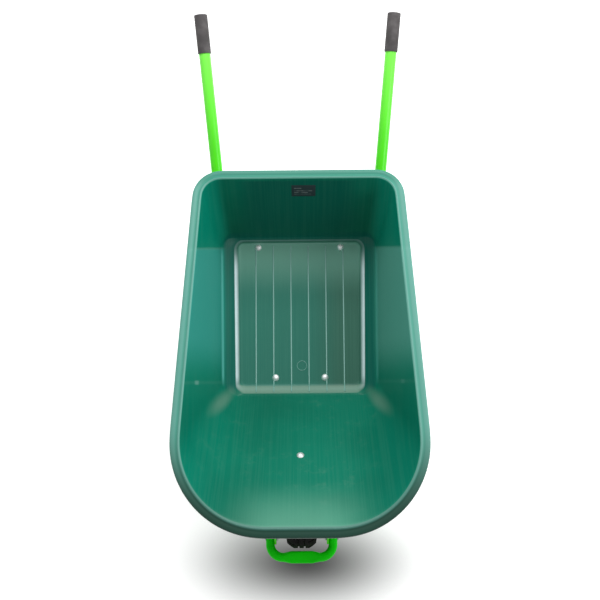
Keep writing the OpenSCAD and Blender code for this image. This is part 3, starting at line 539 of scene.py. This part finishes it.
def trayRings(s, panel, step, base, rim):
    f, t, drop = s["flange"], s["wall"], 0.42 * s["wall"]
    skirt = s["skirt"]
    rise = lambda share: mixed(base, rim, share)
    inside = [panelInside(panel, 0.011), panelInside(panel, 0.004), grown(mixed(panel, step, 0.05), 0.0),
              mixed(panel, step, 0.3), mixed(panel, step, 0.8), grown(mixed(panel, step, 0.98), 0.0),
              grown(step, 0.003, 0.0003), grown(mixed(step, base, 0.3), 0.0), mixed(step, base, 0.7),
              grown(mixed(step, base, 0.93), 0.0, 0.0004), rise(0.012), rise(0.04), rise(0.1),
              rise(0.3), rise(0.5), rise(0.7), rise(0.88), rise(0.965), rise(0.99)]
    top = [grown(rim, 0.0006, -0.0024), grown(rim, 0.0026, -0.0002), grown(rim, 0.0052, -0.0012),
           grown(rim, 0.009, -0.0040), grown(rim, 0.015, -0.0024), grown(rim, f - 0.006, -0.0026),
           grown(rim, f - 0.0022, -0.0044), grown(rim, f - 0.0002, -0.0085),
           grown(rim, f - 0.0002, -skirt + 0.004), grown(rim, f - 0.0006, -skirt + 0.0008),
           grown(rim, f - t + 0.0006, -skirt + 0.0008), grown(rim, f - t, -skirt + 0.005),
           grown(rim, f - t, -t - 0.005), grown(rim, f - t - 0.001, -t - 0.001)]
    outside = [grown(rim, t + 0.003, -t - 0.0005), grown(rise(0.97), t, -drop - 0.001),
               grown(rise(0.93), t, -drop), grown(rise(0.7), t, -drop), grown(rise(0.4), t, -drop),
               grown(rise(0.08), t, -drop), grown(base, t - 0.001, -drop - 0.001),
               grown(mixed(step, base, 0.5), t * 0.8, -t), grown(step, t / 2, -t),
               grown(mixed(panel, step, 0.5), t / 2, -t), grown(panel, 0.0, -t),
               panelInside(panel, 0.012, -t)]
    # how far out each ring lies
    outs = [-0.01] * len(inside) + [0.0006, 0.0026, 0.0052, 0.009, 0.015, 0.021, 0.0248, 0.0268,
                                    0.030, 0.034, 0.04, 0.045, 0.05, 0.05] + [0.05] * len(outside)
    return inside + top + outside, outs


def makeTray(finish):
    s = traySizes
    panel, step, base, rim, floorZ = trayLayout(s)
    outlines, outs = trayRings(s, panel, step, base, rim)
    rings = [outlinePoints(o) for o in outlines]
    count = len(rings[0])
    bpy.ops.object.select_all(action="DESELECT")
    bpy.ops.mesh.primitive_circle_add(vertices=count, radius=0.1)
    tray = bpy.context.object
    tray.name = "tray_shell"
    for vertex, place in zip(tray.data.vertices, rings[0]):
        vertex.co = place
    bpy.ops.object.mode_set(mode="EDIT")
    for number, ring in enumerate(rings[1:], 1):
        # each new ring grows out of the last and is set to its outline
        bpy.ops.mesh.extrude_edges_move()
        bpy.ops.object.mode_set(mode="OBJECT")
        for k, place in enumerate(ring):
            tray.data.vertices[number * count + k].co = place
        bpy.ops.object.mode_set(mode="EDIT")
    mesh = bmesh.from_edit_mesh(tray.data)
    mesh.verts.ensure_lookup_table()
    last = (len(rings) - 1) * count
    for k in range(count // 2 - 1):
        # the floor, inside and underneath, in strips from side to side
        m = count - 1 - k
        mesh.faces.new([mesh.verts[i] for i in (k, k + 1, m - 1, m)])
        mesh.faces.new([mesh.verts[last + i] for i in (k, m, m - 1, k + 1)])
    bmesh.update_edit_mesh(tray.data)
    bpy.ops.mesh.select_all(action="SELECT")
    bpy.ops.mesh.normals_make_consistent(inside=False)
    bpy.ops.object.mode_set(mode="OBJECT")
    layer = tray.data.attributes.new("out", "FLOAT", "POINT")
    layer.data.foreach_set("value", [out for out in outs for k in range(count)])
    modify(tray, "SUBSURF", levels=2, render_levels=2)
    pick(tray)
    bpy.ops.object.shade_smooth()

    extras = [makeRib(s, panel, step, (k - (s["ribs"] - 1) / 2) * s["ribPitch"], floorZ)
              for k in range(s["ribs"])]
    x, back = s["gate"]
    bpy.ops.mesh.primitive_torus_add(major_radius=s["gateRadius"], minor_radius=s["gateWire"],
                                     major_segments=48, minor_segments=8)
    gate = bpy.context.object
    gate.rotation_euler.x = math.radians(s["slope"])
    gate.location = (x, panel[0] + back, floorZ(panel[0] + back))
    settle(gate)
    bpy.ops.object.shade_smooth()
    extras.append(gate)
    pick(tray)
    for piece in extras:
        piece.select_set(True)
    bpy.ops.object.join()
    dress(tray, finish)
    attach(tray, "chassis")
    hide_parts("tray")
    return tray


def makeRib(s, panel, step, x, floorZ):
    # a low bar along the floor that climbs the step at the front
    near, far = panel[0] + 0.001, panel[1] - 0.006
    bpy.ops.object.select_all(action="DESELECT")
    bpy.ops.mesh.primitive_cube_add(size=1)
    rib = bpy.context.object
    rib.scale = (s["ribWidth"], far - near, 2 * s["ribHeight"])
    rib.location = (x, (near + far) / 2, 0)
    settle(rib)
    bpy.ops.object.mode_set(mode="EDIT")
    mesh = bmesh.from_edit_mesh(rib.data)
    for face in mesh.faces:
        face.select = face.normal.y < -0.9
    for item in list(mesh.edges) + list(mesh.verts):
        item.select = any(face.select for face in item.link_faces)
    mesh.select_flush_mode()
    bmesh.update_edit_mesh(rib.data)
    climb = s["sink"] * 0.86
    bpy.ops.mesh.extrude_region_move(TRANSFORM_OT_translate={
        "value": (0, -s["stepFront"] * 0.9, climb)})
    bpy.ops.object.mode_set(mode="OBJECT")
    for vertex in rib.data.vertices:
        vertex.co.z += floorZ(vertex.co.y)
    modify(rib, "BEVEL", width=0.0012, segments=3, limit_method="ANGLE", angle_limit=math.radians(40))
    pick(rib)
    bpy.ops.object.shade_smooth_by_angle(angle=math.radians(50))
    return rib


coats = {
    "frame_paint": (paint, {"name": "framePaint", "base": (0.072, 0.68, 0.006),
                            "worn": (0.060, 0.61, 0.005), "shine": 0.2,
                            "farSheen": (0.22, 0.80, 0.10)}),
    "nose_paint": (paint, {"name": "nosePaint", "base": (0.006, 0.56, 0.004),
                           "worn": (0.004, 0.48, 0.003), "coat": 0.0, "shine": 0.05}),
    "wheel_paint": (paint, {"name": "wheelPaint", "base": (0.035, 0.037, 0.040),
                            "worn": (0.028, 0.029, 0.031), "coat": 0.2}),
    "grip_rubber": (rubber, {"name": "gripRubber", "base": (0.070, 0.065, 0.066), "grain": 700.0,
                             "rough": 0.55}),
    "tube_rubber": (rubber, {"name": "tubeRubber", "base": (0.015, 0.015, 0.015),
                             "grain": 500.0}),
    "zinc_steel": (steel, {"name": "zincSteel", "base": (0.58, 0.60, 0.62), "rough": 0.28,
                           "brushed": 0.06}),
    "bright_steel": (steel, {"name": "brightSteel", "base": (0.96, 0.96, 0.97), "rough": 0.52}),
    "bearing_steel": (steel, {"name": "bearingSteel", "base": (0.72, 0.73, 0.75),
                              "rough": 0.14}),
    "plug_plastic": (rubber, {"name": "plugPlastic", "base": (0.012, 0.012, 0.013),
                              "grain": 600.0, "rough": 0.45})}


def middle(node):
    return [(a + b) / 2 for a, b in zip(*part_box(node))]


def main():
    deck = trayPlastic()
    finishes = {slot: make(**look) for slot, (make, look) in coats.items()}
    finishes["tyre_rubber"] = tyreRubber(middle("tyre"))
    finishes["label"] = blankLabel(middle("tray_label"))
    say("finishes made")

    makeTray(deck)
    say("tray made")

    for part in frame["record"]["subparts"]:
        name, finish = part["node"], finishes.get(part["material_slot"])
        if name == "tray":
            continue
        if name in easing["hidden"]:
            dress(nodes[name], finish)
            continue
        body = body_of(nodes[name])
        made = softened(name, name + "_finished", finish)
        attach(made, body if isinstance(body, str) else list(body)[0])
    say("frame, wheel and fasteners finished")

    makeStage()


# the floor's pool is a painted shadow in front of the nose
studio = {"floor": 0.85, "shade": 0.11, "glow": 0.5, "paintedShadow": (0.010, -0.80, 0.44, 0.185),
          "world": 0.55,
          "lens": 48.0, "eye": (0.0157, -0.5796, 2.6497), "pitch": 13.42, "yaw": 0.36, "roll": 0.47,
          "lamps": {
              "keyLamp": {"at": (0.2, 2.1, 3.1), "aim": (0, -0.1, 0.3), "size": (2.0, 1.4),
                          "power": 94},
              "rightLamp": {"at": (2.5, 0.1, 2.3), "aim": (0, -0.1, 0.4), "size": (1.4, 1.8),
                            "power": 36},
              "leftLamp": {"at": (-2.5, 0.1, 2.3), "aim": (0, -0.1, 0.4), "size": (1.4, 1.8),
                           "power": 5}}}


def makeStage():
    bpy.ops.object.select_all(action="DESELECT")
    bpy.ops.mesh.primitive_plane_add(size=60, location=(0, 0, 0))
    floor = bpy.context.object
    floor.name = "studioFloor"
    settle(floor)
    # the sweep glows white but for a painted shadow under the nose: a grey pool that does not glow
    f = Finish("studioFloor", Roughness=0.9, Specular_IOR_Level=0.1,
               Emission_Strength=studio["glow"])
    x, y, z = f.parts()
    atX, atY, spanX, spanY = studio["paintedShadow"]
    reach = ((((x - atX) / spanX) ** 2 + ((y - atY) / spanY) ** 2) ** 0.5).between(0.0, 1.1)
    f.set(Base_Color=f.blend(reach, (studio["shade"],) * 3, (studio["floor"],) * 3),
          Emission_Color=f.blend(reach, (0, 0, 0), (1, 1, 1)))
    dress(floor, f)
    scene = bpy.context.scene
    world = bpy.data.worlds.new("studioWorld")
    world.use_nodes = True
    world.node_tree.nodes["Background"].inputs[0].default_value = (1, 1, 1, 1)
    world.node_tree.nodes["Background"].inputs[1].default_value = studio["world"]
    scene.world = world
    for name, s in studio["lamps"].items():
        bpy.ops.object.light_add(type="AREA", location=s["at"])
        lamp = bpy.context.object
        lamp.name = name
        lamp.data.shape = "RECTANGLE"
        lamp.data.size, lamp.data.size_y = s["size"]
        lamp.data.energy = s["power"]
        lamp.rotation_euler = (Vector(s["aim"]) - Vector(s["at"])).to_track_quat("-Z", "Y").to_euler()
    # looking straight down, then leant back towards the handles
    pitch = math.radians(studio["pitch"])
    ahead = Vector((0, math.sin(pitch), -math.cos(pitch)))
    up = Vector((0, math.cos(pitch), math.sin(pitch)))
    turn = Matrix.Rotation(math.radians(studio["yaw"]), 3, up)
    ahead, right = turn @ ahead, turn @ ahead.cross(up)
    turn = Matrix.Rotation(math.radians(studio["roll"]), 3, ahead)
    right, up = turn @ right, turn @ up
    bpy.ops.object.camera_add()
    camera = bpy.context.object
    camera.name = "studioCamera"
    camera.data.lens = studio["lens"]
    camera.data.sensor_width = 36.0
    camera.matrix_world = Matrix((right, up, -ahead)).transposed().to_4x4()
    camera.location = studio["eye"]
    scene.camera = camera
    scene.view_settings.view_transform = "Standard"
    say("stage lit")


main()
